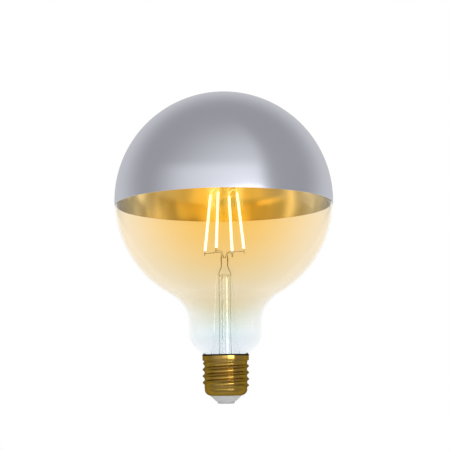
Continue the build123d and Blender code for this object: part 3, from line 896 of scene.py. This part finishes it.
def make_contact(material):
    """A pressed button with a rounded edge and a shallow ring, on a hollow shank."""
    ring_inner = PRESSED_RING_RADIUS - PRESSED_RING_HALF
    ring_outer = PRESSED_RING_RADIUS + PRESSED_RING_HALF
    outline = [(0, 0), (ring_inner, 0), (PRESSED_RING_RADIUS, PRESSED_RING_DEPTH), (ring_outer, 0)]
    outline += arc((CONTACT_RADIUS - CONTACT_EDGE, CONTACT_EDGE), CONTACT_EDGE, -pi / 2, 0, 8)
    outline += [(CONTACT_RADIUS, INSULATOR_FOOT_Z), (SHANK_RADIUS, INSULATOR_FOOT_Z)]
    outline += [(SHANK_RADIUS, SHANK_TOP_Z), (SHANK_BORE, SHANK_TOP_Z)]
    outline += [(SHANK_BORE, CONTACT_FLOOR_Z), (0, CONTACT_FLOOR_Z)]
    settle(turned("contact_button", outline, material, CONTACT_TURNS), "contact_metal", "centre_contact")


def dress(material, *names):
    """Gives solids that keep their shape a finish of their own."""
    for name in names:
        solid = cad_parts[name]
        solid.data.materials.clear()
        solid.data.materials.append(material)


# Studio
TO_DEGREES = 180 / pi

# The dim room's light in front and behind, how far the change leans back with height, and where it lies
ROOM_FRONT = 0.36
ROOM_BACK = 0.6
ROOM_BACK_LEAN = 0.35
ROOM_CHANGE = (-0.1, 0.7)

# The same for the backdrop, which clear glass and mirrors show
BACKDROP_FRONT = 1.08
BACKDROP_BACK = 1.0
BACKDROP_CHANGE = (-0.3, 0.5)

# Softboxes: turn from and to in degrees from the front, rise from and to,
# how softly the left, right, lower and upper sides begin, and how much light they add
ROOM_CARDS = [
    # Broad light low in front, and a taller one that reaches overhead
    (-85, 43, -12, 30, 50, 7, 8, 4, 0.24),
    (-85, 54, -12, 88, 110, 16, 8, 60, 0.3),
    # Bright strip on the right and a weaker one in front, both near the horizon
    (10, 43, -6, 1.0, 4, 3, 2, 1, 5.0),
    (-25, 12, -5, 1, 25, 3, 3, 1, 1.2),
]
BACKDROP_CARDS = [
    # Dull sides
    (20, 140, -60, 60, 30, 50, 20, 20, -0.4),
    (-140, -20, -60, 60, 30, 50, 20, 20, -0.4),
    # Brighter patch low on the right
    (16, 40, -50, 0, 4, 6, 8, 5, 0.17),
    # Dull fields near the horizon, in front and to its left
    (-25, 14, -12, 3, 8, 4, 1.5, 4, -0.36),
    (-48, -17, -10.2, 3, 8, 8, 1.5, 4, -0.3),
    # Fainter ones that reach further down
    (-48, 10, -60, 3, 8, 6, 10, 4, -0.1),
    (-85, -42, -60, 2, 8, 8, 10, 4, -0.15),
    # Bright field on the far left
    (-145, -66, -26, 0, 15, 14, 5, 3, 0.28),
    # Bright ground behind the lamp, right and left
    (110, 400, -70, -18, 20, 20, 10, 8, 0.25),
    (-400, -110, -70, -18, 20, 20, 10, 8, 0.25),
    # Narrow bright softbox on the right
    (40, 110, -3, 6.6, 4, 8, 0.8, 0.8, 3.0),
]


def light_patch(tree, turn, rise, card):
    """The light of one softbox with softened sides, by direction from the lamp in degrees."""
    left, right, low, high, left_ease, right_ease, low_ease, high_ease, level = card
    across = calc(tree, "MULTIPLY", between(tree, turn, left, left + left_ease),
                  between(tree, turn, right - right_ease, right, 1, 0))
    upright = calc(tree, "MULTIPLY", between(tree, rise, low, low + low_ease),
                   between(tree, rise, high - high_ease, high, 1, 0))
    return calc(tree, "MULTIPLY", calc(tree, "MULTIPLY", across, upright), level)


def add_cards(tree, light, turn, rise, cards):
    for card in cards:
        light = calc(tree, "ADD", light, light_patch(tree, turn, rise, card))
    return light


def make_studio():
    """The camera sees plain white, sharp rays the backdrop, and all others a dimmer room with softboxes."""
    world = bpy.data.worlds.new("studio")
    bpy.context.scene.world = world
    world.use_nodes = True
    tree = world.node_tree
    tree.nodes.clear()
    x, y, z = split(tree, tree.nodes.new("ShaderNodeTexCoord").outputs["Generated"])
    turn = calc(tree, "MULTIPLY", calc(tree, "ARCTAN2", x, calc(tree, "MULTIPLY", y, -1.0)), TO_DEGREES)
    rise = calc(tree, "MULTIPLY", calc(tree, "ARCSINE", z), TO_DEGREES)

    behind = calc(tree, "MULTIPLY_ADD", z, -ROOM_BACK_LEAN, y)
    room = between(tree, behind, *ROOM_CHANGE, ROOM_FRONT, ROOM_BACK)
    room = add_cards(tree, room, turn, rise, ROOM_CARDS)
    backdrop = between(tree, y, *BACKDROP_CHANGE, BACKDROP_FRONT, BACKDROP_BACK)
    backdrop = add_cards(tree, backdrop, turn, rise, BACKDROP_CARDS)

    paths = tree.nodes.new("ShaderNodeLightPath").outputs
    light = mix(tree, "FLOAT", paths["Is Singular Ray"], room, backdrop)
    light = calc(tree, "MAXIMUM", light, paths["Is Camera Ray"])
    lit = tree.nodes.new("ShaderNodeBackground")
    lit.inputs["Color"].default_value = WHITE
    tree.links.new(light, lit.inputs["Strength"])
    out = tree.nodes.new("ShaderNodeOutputWorld")
    tree.links.new(lit.outputs[0], out.inputs[0])


# A round floor far below the lamp
FLOOR_Z = -1000.0
FLOOR_RADIUS = 800.0
FLOOR_CORNERS = 96


def make_floor():
    material, tree, shader = new_material("pale_floor", Roughness=0.9, Emission_Strength=0.1,
                                          Emission_Color=WHITE)
    place, _ = object_places(tree)
    tone = mix_colours(tree, noise(tree, place, 3.0), colour(0.84, 0.84, 0.83), colour(0.88, 0.88, 0.87))
    tree.links.new(tone, shader.inputs["Base Color"])
    ring = [around(FLOOR_RADIUS, 360 * k / FLOOR_CORNERS, FLOOR_Z) for k in range(FLOOR_CORNERS)]
    mesh = bpy.data.meshes.new("floor")
    mesh.from_pydata(ring, [], [list(range(FLOOR_CORNERS))])
    floor = finish_mesh("floor", mesh, material)


# Where the photograph was taken from, in millimetres and degrees
CAMERA_PLACE = (0.54, -640.0, 10.0)
CAMERA_PITCH = 8.098
CAMERA_ROLL = -0.7
CAMERA_LENS = 90.33
CAMERA_SENSOR = 36
CAMERA_NEAR = 10.0


def make_camera():
    data = bpy.data.cameras.new("photo_camera")
    data.lens = CAMERA_LENS
    data.sensor_width = CAMERA_SENSOR
    data.clip_start = CAMERA_NEAR * MM
    camera = bpy.data.objects.new("photo_camera", data)
    bpy.context.scene.collection.objects.link(camera)
    pitch = Matrix.Rotation(radians(90 + CAMERA_PITCH), 4, "X")
    roll = Matrix.Rotation(radians(CAMERA_ROLL), 4, "Z")
    camera.matrix_world = Matrix.Translation(Vector(CAMERA_PLACE) * MM) @ pitch @ roll
    bpy.context.scene.camera = camera


def set_light_paths():
    """Enough bounces for light that crosses the glass walls and the mirror many times."""
    scene = bpy.context.scene
    scene.view_settings.view_transform = "Standard"
    scene.cycles.max_bounces = 32
    scene.cycles.transmission_bounces = 28
    scene.cycles.glossy_bounces = 16
    scene.cycles.transparent_max_bounces = 16
    scene.cycles.diffuse_bounces = 4


# How bright a place has to be to glow, and how strongly, how widely and in what colour it does
GLOW = {"Threshold": 1.2, "Strength": 1.0, "Size": 0.35, "Tint": colour(1.0, 0.72, 0.1)}


def make_glow():
    """The golden glow that the lit filaments leave on the picture."""
    scene = bpy.context.scene
    scene.use_nodes = True
    tree = scene.node_tree
    tree.nodes.clear()
    picture = tree.nodes.new("CompositorNodeRLayers")
    glare = tree.nodes.new("CompositorNodeGlare")
    glare.glare_type = "FOG_GLOW"
    set_inputs(glare, GLOW)
    out = tree.nodes.new("CompositorNodeComposite")
    tree.links.new(picture.outputs["Image"], glare.inputs["Image"])
    tree.links.new(glare.outputs["Image"], out.inputs["Image"])


# The lamp
def make_glass_and_filaments():
    make_globe(make_globe_glass())
    make_crown(make_crown_silver())
    make_stem(make_stem_glass("stem_lead_glass", STEM_BEND))
    bright_tube = make_stem_glass("exhaust_lead_glass", EXHAUST_BEND, Coat_Weight=1.0, Coat_IOR=2.0,
                                  Coat_Roughness=0.0)
    make_exhaust(bright_tube)
    glow = make_filament_glow()
    for index in range(FILAMENT_COUNT):
        make_filament(index, glow)


def make_cap():
    make_shell(make_cap_brass())
    grey = grained("grey_insulator", (0.93, 0.93, 0.93), (0.97, 0.97, 0.97), (0.4, 0.5),
                   (1500.0, 200.0), 0.02, Coat_Weight=0.2)
    make_insulator(grey)
    tin = grained("tinned_contact", (0.8, 0.8, 0.8), (0.86, 0.86, 0.86), (0.4, 0.5),
                  (1200.0, 300.0), 0.03, Metallic=0.4)
    make_contact(tin)


def dress_wires_and_driver():
    """Finishes of the wires, the cement and the driver, which keep the solids' own shapes."""
    dress(make_round_wire(), "filament_tabs", "lead_wire_line", "lead_wire_return", "anchor_wire",
          "top_link_left", "top_link_right", "resistor_leads", "shell_wire")
    cement = grained("pale_cement", (0.72, 0.7, 0.64), (0.85, 0.83, 0.78), (0.8, 0.95),
                     (900.0, 150.0), 0.2)
    dress(cement, "basing_cement")
    dress(make_board(), "driver_board")
    sleeve = grained("dark_sleeve", (0.01, 0.012, 0.02), (0.02, 0.024, 0.04), (0.25, 0.35),
                     (800.0, 120.0), 0.02)
    dress(sleeve, "smoothing_capacitor")
    moulded = grained("moulded_black", (0.015, 0.015, 0.016), (0.035, 0.035, 0.036), (0.5, 0.65),
                      (2500.0, 300.0), 0.03)
    dress(moulded, "bridge_rectifier", "driver_chip", "chip_resistors")
    lacquer = grained("green_lacquer", (0.13, 0.2, 0.13), (0.2, 0.28, 0.19), (0.25, 0.4),
                      (900.0, 200.0), 0.03)
    dress(lacquer, "fusible_resistor")
    solder = grained("bright_solder", (0.6, 0.6, 0.61), (0.78, 0.78, 0.8), (0.2, 0.4),
                     (1500.0, 500.0), 0.03, Metallic=1.0)
    dress(solder, "solder_joints")


set_light_paths()
make_glow()
make_camera()
make_studio()
make_floor()
make_glass_and_filaments()
make_cap()
dress_wires_and_driver()
